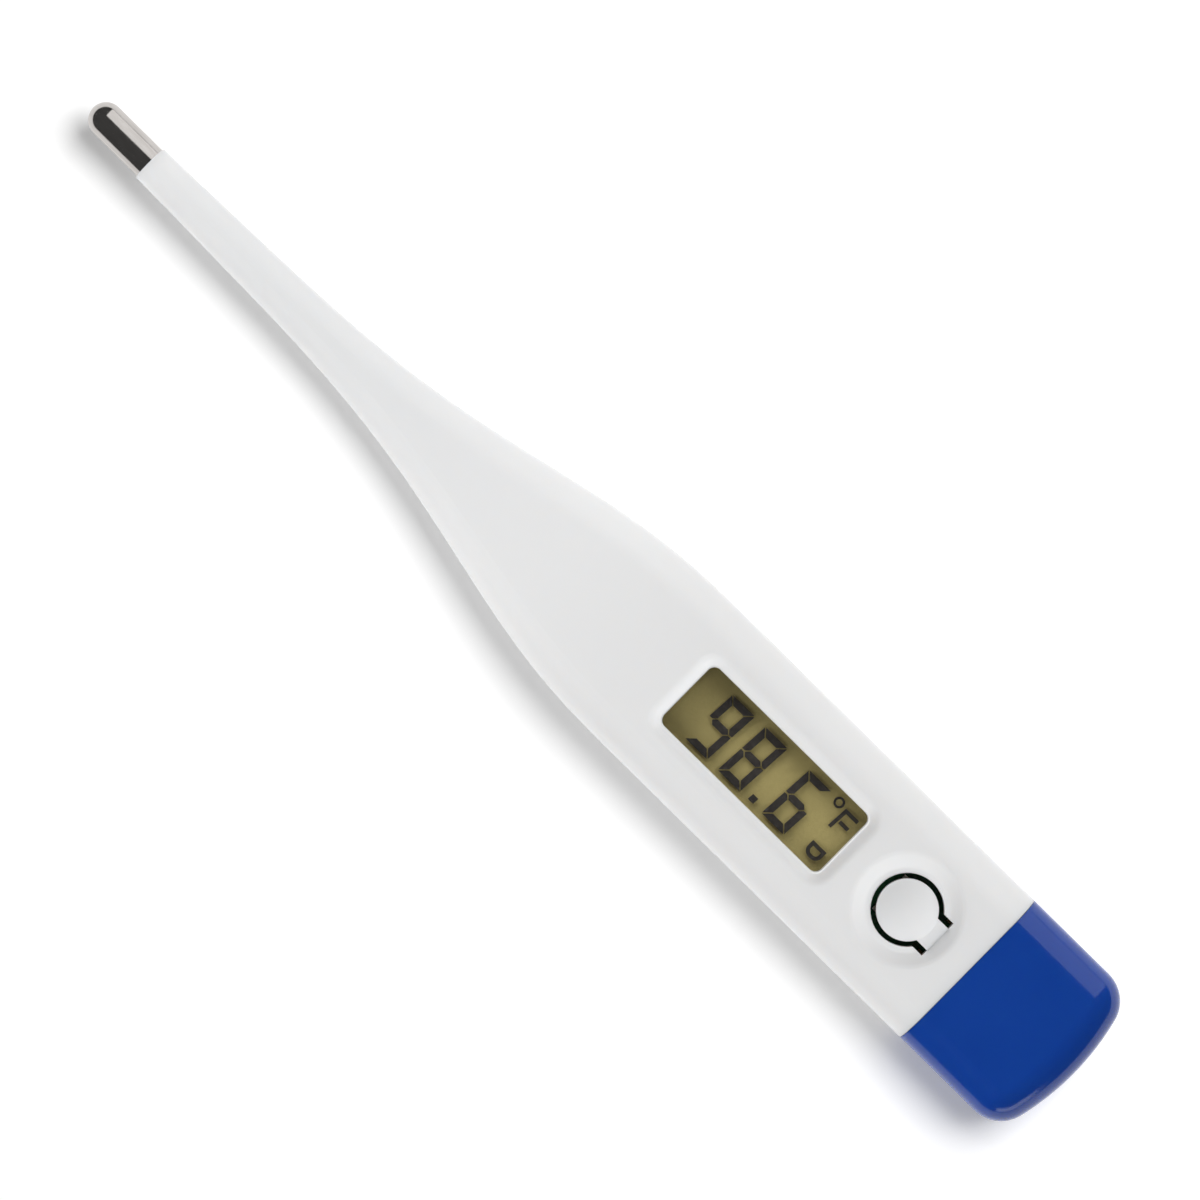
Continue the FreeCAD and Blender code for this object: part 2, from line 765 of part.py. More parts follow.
def make_thermistor_leads():
    """Two insulated wires from the bead to the board, with slack for the carrier to slide out."""
    middle = value("body_thickness / 2")
    gap = value("lead_gap") / 2
    pad_z = value("board_bottom + board_thickness + lead_radius")
    pad_y = value("lead_pad_offset")
    bead_end = value("bead_at + bead_radius")
    pad_at = value("board_start + 0.25")
    solids = []
    for side in (1, -1):
        waves = [(at, y + side * gap, middle + rise) for at, y, rise in LEAD_WAVES]
        route = [(bead_end, side * gap, middle)] + waves + [
            (68.0, side * 0.7 - 0.7, pad_z + 0.2),
            (72.0, side * pad_y, pad_z),
            (pad_at, side * pad_y, pad_z),
        ]
        solids.append(wire_solid(route, value("lead_radius")))
    return keep(shaped("thermistor_leads", Part.Compound(solids)))


# -------------------------------------------------------------------- carrier

def make_carrier():
    """A moulded tray: two rails for the board and the display, and the cell's chamber at the rear."""
    body = new_body("tray_form")
    rail_inside = "(carrier_half_width - rail_thickness)"
    outline = new_sketch(body, "tray_outline", "XY_Plane", z="carrier_bottom")
    draw_rounded_rectangle(outline, along("carrier_front - 5"), along("carrier_end"),
                           "-carrier_half_width", "carrier_half_width", "carrier_corner")
    tray = pad(body, "tray", outline, "carrier_top - carrier_bottom")
    front = new_sketch(body, "front_cut", "XY_Plane", z="carrier_bottom")
    rectangle(front, "carrier_front - 6", "carrier_front",
              "-carrier_half_width - 1", "carrier_half_width + 1")
    trimmed = pocket(body, "front_trim", front, "carrier_top - carrier_bottom + 1", reverse=True)
    levels = (value("carrier_bottom"), value("carrier_top"))
    fillet(body, "long_edges", trimmed, "carrier_edge",
           lambda edge: any(at_height(edge, level) for level in levels)
           and edge.BoundBox.XMax - edge.BoundBox.XMin > 0.01)
    for name, floor, half_width in (("bay", "board_bottom", rail_inside), ("open_top", "rail_top", "20")):
        sketch = new_sketch(body, name + "_outline", "XY_Plane", z="carrier_top")
        start = "bay_start" if name == "bay" else "carrier_front - 1"
        rectangle(sketch, start, "bay_end", f"-{half_width}", half_width)
        pocket(body, name, sketch, f"carrier_top - {floor}")
    front_bay = new_sketch(body, "front_bay_outline", "XY_Plane", z="carrier_top")
    rectangle(front_bay, "carrier_front - 1", "bay_start + 1", f"-{rail_inside}", rail_inside)
    pocket(body, "front_bay", front_bay, "carrier_top - board_bottom")
    floor_window = new_sketch(body, "floor_window_outline", "XY_Plane", z="board_bottom")
    rectangle(floor_window, "floor_window_start", "floor_window_end",
              "-floor_window_half_width", "floor_window_half_width")
    pocket(body, "floor_window", floor_window, "board_bottom")
    seat = new_sketch(body, "buzzer_seat_outline", "XY_Plane", z="board_bottom")
    draw_circle(seat, along("buzzer_at"), "0", "buzzer_radius + 0.1")
    pocket(body, "buzzer_seat_well", seat, "board_bottom - buzzer_seat")
    sound_hole = new_sketch(body, "sound_hole_outline", "XY_Plane", z="board_bottom")
    draw_circle(sound_hole, along("buzzer_at"), "0", "buzzer_radius - buzzer_ledge")
    pocket(body, "sound_hole", sound_hole, "board_bottom")
    chamber = new_sketch(body, "chamber_outline", "XY_Plane", z="carrier_top")
    draw_circle(chamber, along("cell_at"), "0", "chamber_radius")
    pocket(body, "chamber", chamber, "carrier_top - chamber_floor")
    notch = new_sketch(body, "contact_notches", "XY_Plane", z="carrier_top")
    rectangle(notch, "bay_end - 0.1", "bay_end + notch_length", "-notch_half_width", "notch_half_width")
    pocket(body, "negative_notch", notch, "carrier_top - chamber_floor")
    recess = new_sketch(body, "positive_recess_outline", "XY_Plane", z="carrier_top")
    rectangle(recess, "bay_end - 0.1", "recess_end", "recess_right", "recess_left")
    pocket(body, "positive_recess", recess, "carrier_top - board_bottom - 0.1")
    return body


def make_carrier_with_fittings():
    """The tray with its heat-staked posts and the hooks over the display glass."""
    tray = make_carrier()
    pieces = [tray]
    board_top = "board_bottom + board_thickness"
    glass_top = "cell_bottom + 2 * glass_thickness + cell_gap"
    for number, (at, side) in enumerate(STAKES, start=1):
        y = f"{side} * stake_offset"
        head = f"{board_top} + stake_head"
        pieces.append(disc(f"post_{number}", "stake_radius", at, "board_bottom - 0.3", head, y))
        pieces.append(disc(f"stake_head_{number}", "stake_radius * 1.5", at, board_top, head, y))
    inside = "(carrier_half_width - rail_thickness)"
    for number, (at, side) in enumerate(HOOKS, start=1):
        edges = [f"{side} * ({inside} - hook_overhang)", f"{side} * ({inside} + 0.1)"]
        right, left = sorted(edges, key=value)
        pieces.append(block(f"hook_{number}", at, f"{at} + hook_length", right, left,
                            f"{glass_top} + 0.02", "rail_top"))
    return keep(fused("carrier", pieces))


def make_circuit_board():
    body = new_body("circuit_board")
    outline = new_sketch(body, "board_outline", "XY_Plane", z="board_bottom")
    draw_rounded_rectangle(outline, along("board_start"), along("board_end"),
                           "-board_half_width", "board_half_width", "board_corner")
    for at, side in STAKES:
        draw_circle(outline, along(at), f"{side} * stake_offset", "stake_radius + stake_slack")
    pad(body, "board", outline, "board_thickness")
    return keep(body)


# -------------------------------------------------------------------- display

def make_display():
    """Two glasses with the polariser above and the reflector below, on two rubber connectors."""
    board_top = "board_bottom + board_thickness"
    rear_top = "cell_bottom + glass_thickness"
    front_low = f"{rear_top} + cell_gap"
    front_top = f"{front_low} + glass_thickness"
    narrow = ("-cell_half_width", "cell_half_width")
    wide = ("-glass_half_width", "glass_half_width")
    span = ("glass_start", "glass_end")
    keep(block("lcd_rear_glass", *span, *narrow, "cell_bottom", rear_top))
    keep(block("lcd_front_glass", *span, *wide, front_low, front_top))
    keep(block("lcd_polarizer", *span, *narrow, front_top, f"{front_top} + polarizer_thickness"))
    keep(block("lcd_reflector", *span, *narrow, "cell_bottom - reflector_thickness", "cell_bottom"))
    strips = []
    for name, side in (("left", "1"), ("right", "-1")):
        middle = f"{side} * zebra_offset"
        edges = (f"{middle} - zebra_half_width", f"{middle} + zebra_half_width")
        strips.append(block(f"zebra_{name}", *span, *edges, board_top, front_low))
    keep(grouped("zebra_strips", strips))


def bar_corners(bar):
    """The outline of one bar of a seven-bar numeral, upright, from the numeral's lower left corner.

    The mitres leave a thin gap between neighbouring bars.
    """
    width, height, stroke, gap = (value(name) for name in (
        "digit_width", "digit_height", "digit_stroke", "segment_gap"))
    half = height / 2
    slit = gap / math.sqrt(2)
    level = [(slit, 0), (width - slit, 0), (width - stroke - slit, stroke), (stroke + slit, stroke)]
    upright = [(0, slit), (stroke, stroke + slit), (stroke, half - stroke / 2 - slit),
               (stroke / 2, half - slit), (0, half - slit)]
    if bar == "a":
        return [(x, height - y) for x, y in level]
    if bar == "d":
        return level
    if bar == "g":
        low, high = half - stroke / 2, half + stroke / 2
        start, end = stroke + slit, width - stroke - slit
        return [(start - stroke / 2, half), (start, low), (end, low),
                (end + stroke / 2, half), (end, high), (start, high)]
    mirrored = [(width - x, y) for x, y in upright] if bar in "bc" else upright
    return [(x, height - y) for x, y in mirrored] if bar in "bf" else mirrored


def film(corners, at, row):
    """A thin slanted plate with these corners, at a distance from the tip and a Y place."""
    slant = value("digit_slant")
    low = value("segment_low")
    left = at - value("length / 2")
    ring = [FreeCAD.Vector(left + x + slant * y, row + y, low) for x, y in corners]
    face = Part.Face(Part.makePolygon(ring + ring[:1]))
    return face.extrude(FreeCAD.Vector(0, 0, value("segment_film")))


def degree_ring():
    """The degree sign, a thin ring."""
    centre = FreeCAD.Vector(value(along("degree_at")), value("degree_row"), value("segment_low"))
    thick = value("segment_film")
    hole = Part.makeCylinder(value("degree_inner"), thick, centre)
    return Part.makeCylinder(value("degree_outer"), thick, centre).cut(hole)


def letter_outlines():
    """The two strokes of the unit's letter: its stem with the top bar, and its middle bar."""
    height, width, stroke = value("letter_height"), value("letter_width"), value("letter_stroke")
    low, start, end = value("letter_bar_low"), value("letter_bar_start"), value("letter_bar_end")
    top = height - stroke
    return [
        [(0, 0), (stroke, 0), (stroke, top), (width, top), (width, height), (0, height)],
        [(start, low), (end, low), (end, low + stroke), (start, low + stroke)],
    ]


def make_lcd_segments():
    """The dark bars, the point, the unit sign and the low-cell symbol, as films between the glasses."""
    height = value("digit_height")
    foot = value("digit_row") - height / 2
    films = []
    for at, bars in NUMERALS:
        films += [film(bar_corners(bar), at - value("digit_slant") * height / 2, foot) for bar in bars]
    size = value("point_size")
    films.append(film([(0, 0), (size, 0), (size, size), (0, size)], value("point_at"), foot + 0.05))
    films.append(degree_ring())
    films += [film(corners, value("letter_at"), value("letter_row")) for corners in letter_outlines()]
    films.append(low_cell_symbol())
    keep(shaped("lcd_segments", Part.Compound(films)))


def low_cell_outline(inset):
    """The low-cell symbol's filled outline, flat above and round below, shrunk by an inset."""
    low = value("segment_low")
    left = value(along("letter_at")) + inset
    top = value("low_cell_top") - inset
    right = left + value("low_cell_width") - 2 * inset
    foot = top - value("low_cell_depth") + 2 * inset
    curve = value("low_cell_round") - inset
    bend = curve * (1 - math.sqrt(0.5))
    corners = [FreeCAD.Vector(x, y, low) for x, y in (
        (left + curve, foot), (left + bend, foot + bend), (left, foot + curve), (left, top),
        (right, top), (right, foot + curve), (right - bend, foot + bend), (right - curve, foot),
    )]
    edges = [Part.Arc(*corners[:3]).toShape()]
    edges += [Part.LineSegment(a, b).toShape() for a, b in zip(corners[2:5], corners[3:6])]
    edges.append(Part.Arc(*corners[5:]).toShape())
    edges.append(Part.LineSegment(corners[7], corners[0]).toShape())
    return Part.Face(Part.Wire(edges)).extrude(FreeCAD.Vector(0, 0, value("segment_film")))


def low_cell_symbol():
    return low_cell_outline(0).cut(low_cell_outline(value("low_cell_stroke")))


# ------------------------------------------------------- parts on the board

def make_controller_blob():
    """Black potting over the bare controller chip, under the board."""
    curve = "(blob_radius^2 + blob_rise^2) / (2 * blob_rise)"
    low = "board_bottom - blob_rise"
    dome = ball("blob_dome", curve, "blob_at", "0", f"{low} + {curve}")
    foot = disc("blob_foot", "blob_radius", "blob_at", low, "board_bottom")
    keep(common("controller_blob", dome, foot))


def chip_row(label, at, places, height):
    """Small chip parts across the top of the board, at these Y places."""
    low = "board_bottom + board_thickness"
    start, end = f"{at} - chip_length / 2", f"{at} + chip_length / 2"
    chips = []
    for number, y in enumerate(places, start=1):
        sides = (f"{y} - chip_width / 2", f"{y} + chip_width / 2")
        chips.append(block(f"{label}_{number}", start, end, *sides, low, f"{low} + {height}"))
    keep(grouped(label, chips))


def make_chips():
    chip_row("chip_resistors", "resistor_at", ("-3.6", "0", "3.6"), "resistor_height")
    chip_row("chip_capacitors", "capacitor_at", ("-2.6", "2.6"), "capacitor_height")


def make_switch():
    """A tact switch: base with a well, snap dome, plunger and steel cover."""
    floor = "board_bottom + board_thickness"
    top = f"{floor} + switch_height"
    span = ("button_at - switch_half_width", "button_at + switch_half_width")
    sides = ("-switch_half_width", "switch_half_width")
    well_floor = f"{floor} + switch_floor"
    case = block("switch_case", *span, *sides, floor, top)
    well = disc("switch_well", "well_radius", "button_at", well_floor, f"{top} + 1")
    keep(cut("switch_base", case, [well]))
    plate = block("cover_plate", *span, *sides, top, f"{top} + cover_thickness")
    hole = disc("cover_hole", "stem_hole", "button_at", f"{top} - 1", f"{top} + 1")
    keep(cut("switch_cover", plate, [hole]))
    curve = "(dome_radius^2 + dome_rise^2) / (2 * dome_rise)"
    centre = f"{well_floor} + dome_rise - {curve}"
    shell = cut("dome_shell", ball("dome_outer", curve, "button_at", "0", centre),
                [ball("dome_inner", f"{curve} - dome_thickness", "button_at", "0", centre)])
    zone = disc("dome_zone", "dome_radius", "button_at", well_floor, f"{well_floor} + 1")
    keep(common("switch_dome", shell, zone))
    flange_top = f"{top} - 0.03"
    keep(fused("switch_plunger", [
        disc("plunger_stem", "plunger_radius", "button_at", f"{flange_top} - 0.1", "plunger_top"),
        disc("plunger_flange", "flange_radius", "button_at", f"{flange_top} - flange_thickness", flange_top),
        disc("plunger_foot", "plunger_radius / 2", "button_at", f"{well_floor} + dome_rise + 0.02",
             f"{flange_top} - flange_thickness + 0.1"),
    ]))


def make_buzzer():
    """A brass plate with a ceramic disc and two short wires up to the board."""
    plate_top = "buzzer_seat + buzzer_sheet"
    keep(disc("buzzer_plate", "buzzer_radius", "buzzer_at", "buzzer_seat", plate_top))
    keep(disc("buzzer_ceramic", "ceramic_radius", "buzzer_at", plate_top, f"{plate_top} + buzzer_sheet"))
    low = value(f"{plate_top} + buzzer_sheet")
    high = value("board_bottom")
    level = (low + high) / 2
    start, end = value("buzzer_at"), value("buzzer_wire_at")
    offset, radius = value("buzzer_wire_offset"), value("buzzer_wire_radius")
    wires = []
    for y in (-offset, offset):
        route = [(start, y, low), (start, y, level), (end, y, level), (end, y, high)]
        wires.append(wire_solid(route, radius))
    return keep(shaped("buzzer_wires", Part.Compound(wires)))


# ---------------------------------------------------------- cell and contacts

def make_cell():
    """A button cell, its flat positive face up: can, nylon seal and the lid below."""
    low, top = "cell_low", "cell_low + cell_height"
    lip = f"{low} + can_step"
    shoulder = f"{lip} + can_sheet"
    can_inside = "cell_radius - can_sheet"
    keep(cut("battery_can", disc("can_blank", "cell_radius", "cell_at", lip, top), [
        disc("can_room", can_inside, "cell_at", shoulder, f"{top} - can_sheet"),
        disc("can_mouth", "gasket_radius", "cell_at", f"{lip} - 1", shoulder),
    ]))
    lid_top = f"{top} - 2 * can_sheet"
    seal = fused("gasket_blank", [
        disc("gasket_body", can_inside, "cell_at", shoulder, f"{top} - can_sheet"),
        disc("gasket_neck", "gasket_radius", "cell_at", lip, f"{shoulder} + 0.1"),
    ])
    keep(cut("battery_gasket", seal, [disc("lid_room", "lid_radius", "cell_at", f"{low} - 1", lid_top)]))
    keep(disc("battery_lid", "lid_radius", "cell_at", low, lid_top))


def strip_outline(points, thickness):
    """The outline of a thin strip bent along points, with mitred corners."""
    sides = {1: [], -1: []}
    for index, point in enumerate(points):
        before = points[max(index - 1, 0)]
        after = points[min(index + 1, len(points) - 1)]
        normals = []
        for start, end in ((before, point), (point, after)):
            if start != end:
                length = math.dist(start, end)
                normals.append(((start[1] - end[1]) / length, (end[0] - start[0]) / length))
        mean = (sum(normal[0] for normal in normals), sum(normal[1] for normal in normals))
        size = math.hypot(*mean)
        unit = (mean[0] / size, mean[1] / size)
        stretch = thickness / 2 / (unit[0] * normals[0][0] + unit[1] * normals[0][1])
        for side in sides:
            sides[side].append((point[0] + side * stretch * unit[0], point[1] + side * stretch * unit[1]))
    return sides[1] + sides[-1][::-1]


def bent_strip(points, place, width):
    """A strip of sheet metal: its bent outline, put where place() says, then widened along a vector."""
    ring = [place(*point) for point in strip_outline(points, value("strip_thickness"))]
    return Part.Face(Part.makePolygon(ring + ring[:1])).extrude(width)


def make_negative_contact():
    """The strip from the board that springs up under the cell's lid."""
    half = value("length / 2")
    thick = value("strip_thickness")
    wide = value("negative_width")
    board_z = value("board_bottom + board_thickness") + thick / 2
    low_z = value("chamber_floor") + thick / 2 + 0.01
    touch_z = value("cell_low") - thick / 2
    foot, bend = NEGATIVE_FOOT
    rise, touch_start, touch_end, tail = NEGATIVE_SPRING
    points = [(foot, board_z), (bend, board_z), (bend, low_z), (rise, low_z),
              (touch_start, touch_z), (touch_end, touch_z), (tail, low_z + 0.05)]
    keep(shaped("contact_negative", bent_strip(
        points, lambda x, z: FreeCAD.Vector(x - half, -wide / 2, z), FreeCAD.Vector(0, wide, 0))))


def make_positive_contact():
    """The strip from the board that presses on the side of the can."""
    half = value("length / 2")
    thick = value("strip_thickness")
    board_top = value("board_bottom + board_thickness")
    touch_y = value("cell_radius") + thick / 2
    near_y, tail_y = POSITIVE_CLEAR
    foot, bend = POSITIVE_FOOT
    touch_start, touch_end, tail = POSITIVE_SPRING
    points = [(foot, near_y), (bend, near_y), (touch_start, touch_y), (touch_end, touch_y), (tail, tail_y)]
    leaf = bent_strip(points, lambda x, y: FreeCAD.Vector(x - half, y, board_top + thick),
                      FreeCAD.Vector(0, 0, value("positive_height")))
    corner = FreeCAD.Vector(foot - half, value("recess_right"), board_top)
    tab = Part.makeBox(value("positive_foot_length"), value("positive_foot_width"), thick, corner)
    keep(shaped("contact_positive", leaf.fuse(tab)))


def solder_cone(label, at, y, low, rise="solder_rise", radius="solder_radius"):
    """A small cone of solder that stands on a surface."""
    cone = document.addObject("Part::Cone", label)
    bind(cone, Radius1=radius, Radius2=f"{radius} / 2", Height=rise)
    return settle(cone, label, along(at), y, low)


def make_solder_joints(buzzer_wires):
    """Solder where the wires and the contact strips meet the board."""
    top = "board_bottom + board_thickness"
    cones = []
    for number, side in enumerate((1, -1), start=1):
        cones.append(solder_cone(f"lead_joint_{number}", "board_start + lead_pad_inset",
                                 f"{side} * lead_pad_offset", top,
                                 "solder_rise + 0.1", "(solder_radius + 0.1)"))
        hanging = solder_cone(f"buzzer_cone_{number}", "buzzer_wire_at", f"{side} * buzzer_wire_offset",
                              "board_bottom", "0.2")
        hanging.Placement.Rotation = FreeCAD.Rotation(FreeCAD.Vector(1, 0, 0), 180)
        cones.append(cut(f"buzzer_joint_{number}", hanging, [buzzer_wires]))
    cones.append(solder_cone("negative_joint", f"{NEGATIVE_FOOT[0]} - 0.35", "0", top))
    cones.append(solder_cone("positive_joint", "112.5", "recess_right - 0.3", top, radius="0.3"))
    keep(grouped("solder_joints", cones))


# -------------------------------------------------------------- battery cover

def cover_form(label, end, half_width, low, high, corner, edge_round):
    """A block with a bulging end, its corners and its long edges rounded."""
    body = new_body(label)
    start = "cap_start + cap_seam"
    side, r, bulge = value(half_width), value(corner), value("cap_bulge")
    tip_x, start_x = value(along(end)), value(along(start))
    hub_x = tip_x - bulge
    corner_y = side - r
    corner_x = hub_x + math.sqrt((bulge - r) ** 2 - corner_y**2)
    tilt = math.atan2(corner_y, corner_x - hub_x)
    vector = FreeCAD.Vector
    up = vector(0, 0, 1)
    sketch = new_sketch(body, label + "_plan", "XY_Plane", z=low)
    sketch.addGeometry(Part.LineSegment(vector(start_x, -side), vector(corner_x, -side)))
    sketch.addGeometry(Part.ArcOfCircle(Part.Circle(vector(corner_x, -corner_y), up, r), -math.pi / 2, -tilt))
    sketch.addGeometry(Part.ArcOfCircle(Part.Circle(vector(hub_x, 0), up, bulge), -tilt, tilt))
    sketch.addGeometry(Part.ArcOfCircle(Part.Circle(vector(corner_x, corner_y), up, r), tilt, math.pi / 2))
    sketch.addGeometry(Part.LineSegment(vector(corner_x, side), vector(start_x, side)))
    sketch.addGeometry(Part.LineSegment(vector(start_x, side), vector(start_x, -side)))
    for index in range(4):
        sketch.addConstraint(Sketcher.Constraint("Tangent", index, 2, index + 1, 1))
    for index in (4, 5):
        sketch.addConstraint(Sketcher.Constraint("Coincident", index, 2, (index + 1) % 6, 1))
    sketch.addConstraint(Sketcher.Constraint("Horizontal", 0))
    sketch.addConstraint(Sketcher.Constraint("Vertical", 5))
    sketch.addConstraint(Sketcher.Constraint("Horizontal", 4))
    sketch.addConstraint(Sketcher.Constraint("PointOnObject", 2, 3, -1))
    sketch.addConstraint(Sketcher.Constraint("Equal", 1, 3))
    dimension(sketch, "corner", "Radius", 1, formula=corner)
    dimension(sketch, "bulge", "Radius", 2, formula="cap_bulge")
    dimension(sketch, "hub", "DistanceX", -1, 1, 2, 3, formula=f"{along(end)} - cap_bulge")
    dimension(sketch, "start", "DistanceX", -1, 1, 0, 1, formula=along(start))
    dimension(sketch, "side", "DistanceY", -1, 1, 4, 1, formula=half_width)
    form = pad(body, label + "_block", sketch, f"({high}) - ({low})")
    levels = (value(low), value(high))
    fillet(body, label + "_edges", form, edge_round,
           lambda edge: any(at_height(edge, level) for level in levels)
           and edge.BoundBox.XMax > start_x + 0.1)
    return body


def make_battery_cap():
    outside = cover_form("cap_outside", "length", "body_half_width", "0", "body_thickness",
                         "cap_corner", "shoulder_radius")
    inside = cover_form("cap_inside", "length - cap_end_wall", "body_half_width - cap_wall", "cap_wall",
                        "body_thickness - cap_wall", "cap_corner - cap_wall", "shoulder_radius - cap_wall")
    return keep(cut("battery_cap", outside, [inside]))


# ----------------------------------------------------------------- the model

def make_thermometer():
    make_housing()
    make_window_lens()
    make_power_button()
    make_probe_tip()
    leads = make_thermistor_leads()
    make_tip_filling(leads)
    make_carrier_with_fittings()
    make_circuit_board()
    make_display()
    make_lcd_segments()
    make_controller_blob()
    make_chips()
    make_switch()
    buzzer_wires = make_buzzer()
    make_cell()
    make_negative_contact()
    make_positive_contact()
    make_solder_joints(buzzer_wires)
    make_battery_cap()


def write_parts():
    """Check every object, then write each sub-part to its own file."""
    document.recompute()
    failed = [item.Label for item in document.Objects if "Invalid" in item.State or "Error" in item.State]
    bad = [node.Label for node in nodes if node.Shape.isNull() or not node.Shape.isValid()]
    if failed or bad:
        raise RuntimeError(f"failed objects: {failed}; bad shapes: {bad}")
    os.makedirs("parts", exist_ok=True)
    for node in nodes:
        node.Shape.exportStep(f"parts/{node.Label}.step")
        print(f"{node.Label}: {len(node.Shape.Solids)} solids, {node.Shape.Volume:.2f} mm3")


make_thermometer()
write_parts()
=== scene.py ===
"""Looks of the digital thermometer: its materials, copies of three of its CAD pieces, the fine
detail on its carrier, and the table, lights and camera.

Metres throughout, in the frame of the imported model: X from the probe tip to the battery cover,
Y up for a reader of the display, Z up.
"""

import json
import math

import bmesh
import bpy
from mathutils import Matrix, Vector


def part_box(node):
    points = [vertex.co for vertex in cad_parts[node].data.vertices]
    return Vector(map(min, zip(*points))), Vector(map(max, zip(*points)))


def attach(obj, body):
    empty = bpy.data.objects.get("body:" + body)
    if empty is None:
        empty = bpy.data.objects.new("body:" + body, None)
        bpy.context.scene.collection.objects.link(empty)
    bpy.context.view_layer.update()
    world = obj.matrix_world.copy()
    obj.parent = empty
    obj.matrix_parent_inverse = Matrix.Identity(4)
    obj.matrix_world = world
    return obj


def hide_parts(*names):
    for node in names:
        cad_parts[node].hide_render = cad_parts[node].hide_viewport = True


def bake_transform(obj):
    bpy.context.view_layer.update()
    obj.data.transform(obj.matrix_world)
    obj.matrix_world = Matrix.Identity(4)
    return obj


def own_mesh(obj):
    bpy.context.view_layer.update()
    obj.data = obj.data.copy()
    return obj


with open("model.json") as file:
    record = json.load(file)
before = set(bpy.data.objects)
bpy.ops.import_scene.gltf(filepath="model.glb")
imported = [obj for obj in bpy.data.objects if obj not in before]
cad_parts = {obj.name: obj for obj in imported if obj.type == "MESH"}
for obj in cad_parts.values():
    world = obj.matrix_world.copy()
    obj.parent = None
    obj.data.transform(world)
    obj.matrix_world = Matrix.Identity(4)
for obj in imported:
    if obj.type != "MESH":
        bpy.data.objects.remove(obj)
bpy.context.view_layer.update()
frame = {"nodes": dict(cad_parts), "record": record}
NODES = frame["nodes"]
MM = 0.001

# ------------------------------------------------------------------- material building

def new_material(name):
    """A material with one Principled shader, and its node tree."""
    material = bpy.data.materials.new(name)
    material.use_nodes = True
    tree = material.node_tree
    shader = next(node for node in tree.nodes if node.type == "BSDF_PRINCIPLED")
    return material, tree, shader


def object_coordinates(tree, stretch=(1, 1, 1)):
    """Coordinates fixed to the object, in metres, scaled by a stretch."""
    source = tree.nodes.new("ShaderNodeTexCoord")
    mapping = tree.nodes.new("ShaderNodeMapping")
    mapping.inputs["Scale"].default_value = stretch
    tree.links.new(source.outputs["Object"], mapping.inputs["Vector"])
    return mapping.outputs["Vector"]


def noise(tree, size, detail=3.0, stretch=(1, 1, 1)):
    """A noise whose blotches are about size metres across."""
    texture = tree.nodes.new("ShaderNodeTexNoise")
    texture.inputs["Scale"].default_value = 1 / size
    texture.inputs["Detail"].default_value = detail
    tree.links.new(object_coordinates(tree, stretch), texture.inputs["Vector"])
    return texture.outputs["Fac"]


def between(tree, factor, first, second):
    """A value that goes from first to second over the middle of a noise's range."""
    spread = tree.nodes.new("ShaderNodeMapRange")
    spread.inputs["From Min"].default_value = 0.3
    spread.inputs["From Max"].default_value = 0.7
    spread.inputs["To Min"].default_value = first
    spread.inputs["To Max"].default_value = second
    tree.links.new(factor, spread.inputs["Value"])
    return spread.outputs["Result"]


def colour_between(tree, factor, first, second):
    """A colour that goes from first to second over the middle of a noise's range."""
    ramp = tree.nodes.new("ShaderNodeValToRGB")
    for element, place, colour in zip(ramp.color_ramp.elements, (0.3, 0.7), (first, second)):
        element.position = place
        element.color = (*colour, 1)
    tree.links.new(factor, ramp.inputs["Fac"])
    return ramp.outputs["Color"]


def add_bump(tree, shader, layers):
    """Bump from layers of (noise, depth in metres), one over the other."""
    normal = None
    for height, depth in layers:
        bump = tree.nodes.new("ShaderNodeBump")
        bump.inputs["Distance"].default_value = depth
        tree.links.new(height, bump.inputs["Height"])
        if normal:
            tree.links.new(normal, bump.inputs["Normal"])
        normal = bump.outputs["Normal"]
    tree.links.new(normal, shader.inputs["Normal"])


def finish(name, colour, roughness, metallic=0.0, variation=0.05, blotch=1.5 * MM,
           grain=0.3 * MM, grain_depth=0.004 * MM, stretch=(1, 1, 1)):
    """A surface with slight colour variation, uneven roughness and a fine grain."""
    material, tree, shader = new_material(name)
    dark = tuple(channel * (1 - variation) for channel in colour)
    light = tuple(min(1, channel * (1 + variation)) for channel in colour)
    tree.links.new(colour_between(tree, noise(tree, blotch, stretch=stretch), dark, light),
                   shader.inputs["Base Color"])
    uneven = between(tree, noise(tree, blotch / 3, stretch=stretch), roughness * 0.8, roughness * 1.2)
    tree.links.new(uneven, shader.inputs["Roughness"])
    shader.inputs["Metallic"].default_value = metallic
    add_bump(tree, shader, [(noise(tree, grain, detail=2, stretch=stretch), grain_depth)])
    return material


# --------------------------------------------------------------------- the materials

def white_plastic():
    """Polished white ABS that lets some light in, with a moulding's faint waves."""
    material, tree, shader = new_material("white_plastic")
    cloudy = noise(tree, 15 * MM, detail=0)
    tint = colour_between(tree, cloudy, (0.785, 0.785, 0.785), (0.79, 0.79, 0.79))
    tree.links.new(tint, shader.inputs["Base Color"])
    tree.links.new(between(tree, noise(tree, 3 * MM), 0.30, 0.33), shader.inputs["Roughness"])
    shader.inputs["Subsurface Weight"].default_value = 0.5
    shader.inputs["Subsurface Radius"].default_value = (1.0, 0.9, 0.8)
    shader.inputs["Subsurface Scale"].default_value = 2 * MM
    add_bump(tree, shader, [(noise(tree, 9 * MM, detail=1), 0.01 * MM),
                            (noise(tree, 0.25 * MM, detail=2), 0.0008 * MM)])
    return material


